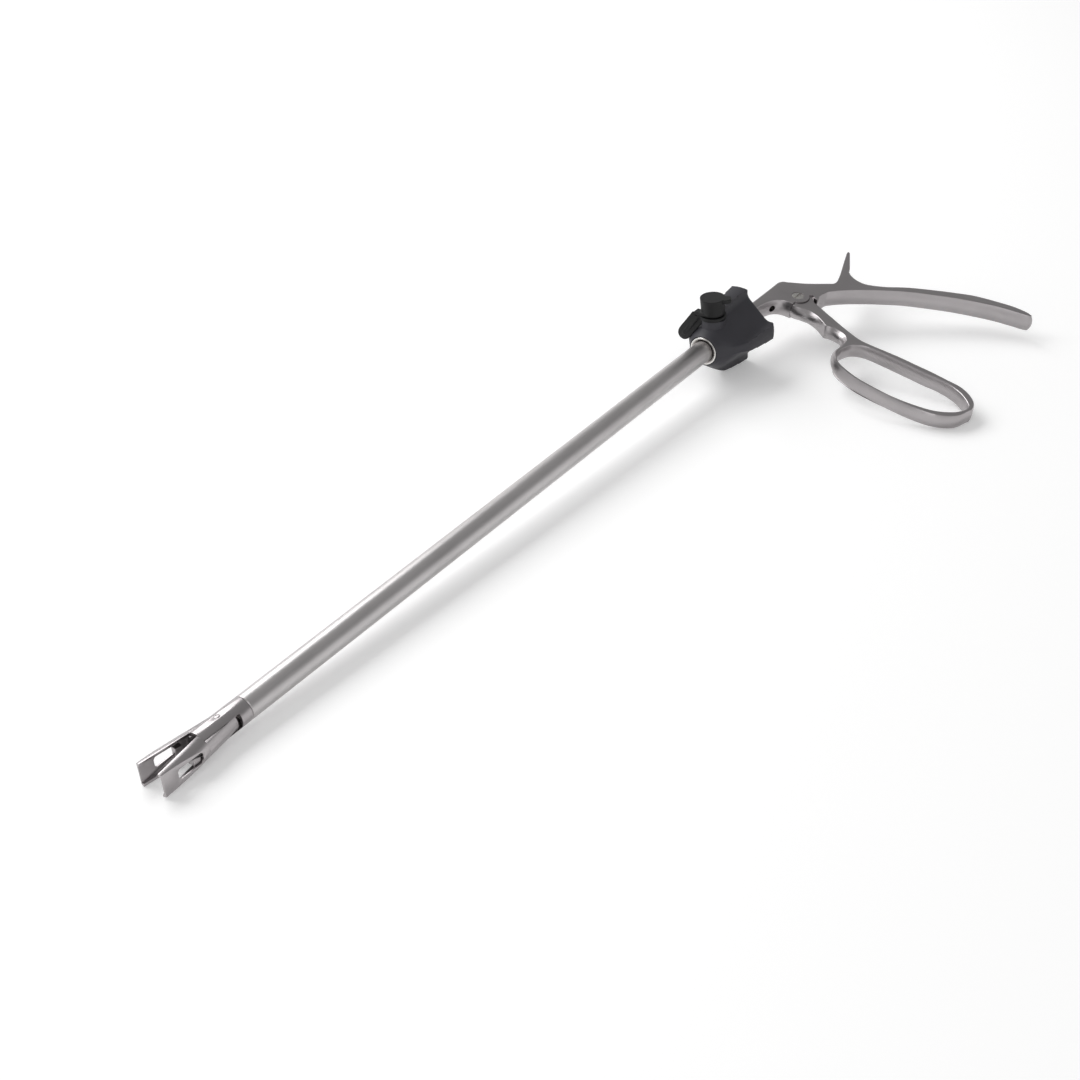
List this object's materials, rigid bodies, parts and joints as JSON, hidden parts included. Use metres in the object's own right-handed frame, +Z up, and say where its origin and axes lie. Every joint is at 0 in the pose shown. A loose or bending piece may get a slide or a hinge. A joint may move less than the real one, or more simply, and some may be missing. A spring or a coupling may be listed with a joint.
{
  "type": "endoscopic clamp applier",
  "caption": "Long-shafted endoscopic applier with windowed channel jaws, a turning finned knob with flush port, and a ring lever on a palm grip.",
  "frame": {"origin": "centre of the lying instrument's base, on the surface it lies on", "axes": "+X from the jaws to the handle along the level view of the tube, -Y to the finger ring, +Z up from the surface it lies on"},
  "size_m": [0.4848, 0.1364, 0.0425],
  "materials": {
    "satin_steel": "fine bead-blasted satin",
    "bright_steel": "bright turned",
    "black_plastic": "matte moulded",
    "soft_black": "soft matte silicone",
    "bearing_plastic": "plain bearing plastic"
  },
  "bodies": {
    "handle": {"palm_grip": "satin_steel", "pivot_screw": "bright_steel", "retaining_ring": "bright_steel", "drag_ring": "soft_black"},
    "lever": {"ring_lever": "satin_steel"},
    "shaft": {"shaft_tube": "satin_steel", "tip_sleeve": "satin_steel", "hinge_pin": "satin_steel", "rod_seal": "soft_black", "tube_hub": "bright_steel", "rotation_knob": "black_plastic", "knob_bush": "bearing_plastic", "flush_port": "bright_steel", "port_seal": "soft_black", "cap_tether": "soft_black", "rod_guide_front": "bearing_plastic", "rod_guide_middle": "bearing_plastic", "rod_guide_rear": "bearing_plastic"},
    "rod": {"push_rod": "bright_steel", "cam_plate": "bright_steel", "rod_spool": "bright_steel"},
    "left_jaw": {"left_jaw": "satin_steel", "left_cam_pin": "bright_steel"},
    "right_jaw": {"right_jaw": "satin_steel", "right_cam_pin": "bright_steel"},
    "cap": {"flush_cap": "soft_black"}
  },
  "joints": [
    {"name": "lever_squeeze", "type": "hinge", "parent": "handle", "child": "lever", "pos_m": [0.17313, 0.0379, 0.01869], "axis": [-0.0356, -0.1329, 0.9905], "range_deg": [0, 12]},
    {"name": "shaft_turn", "type": "hinge", "parent": "handle", "child": "shaft", "pos_m": [0.12361, 0.0492, 0.01843], "axis": [0.9994, 0, 0.0359], "continuous": true},
    {"name": "rod_push", "type": "slide", "parent": "shaft", "child": "rod", "axis": [-0.9994, 0, -0.0359], "range_m": [0, 0.00239]},
    {"name": "left_jaw_close", "type": "hinge", "parent": "shaft", "child": "left_jaw", "pos_m": [-0.20998, 0.0492, 0.00643], "axis": [-0.0359, 0.061, 0.9975], "range_deg": [0, 8]},
    {"name": "right_jaw_close", "type": "hinge", "parent": "shaft", "child": "right_jaw", "pos_m": [-0.20998, 0.0492, 0.00643], "axis": [0.0359, -0.061, -0.9975], "range_deg": [0, 8]},
    {"name": "cap_pull", "type": "slide", "parent": "shaft", "child": "cap", "axis": [-0.0359, 0.061, 0.9975], "range_m": [0, 0.009], "deforming": ["cap_tether"]}
  ],
  "couplings": [
    {"joint": "rod_push", "follows": "lever_squeeze", "m_per_rad": 0.0114},
    {"joint": "left_jaw_close", "follows": "lever_squeeze", "ratio": 0.66667},
    {"joint": "right_jaw_close", "follows": "lever_squeeze", "ratio": 0.66667}
  ]
}
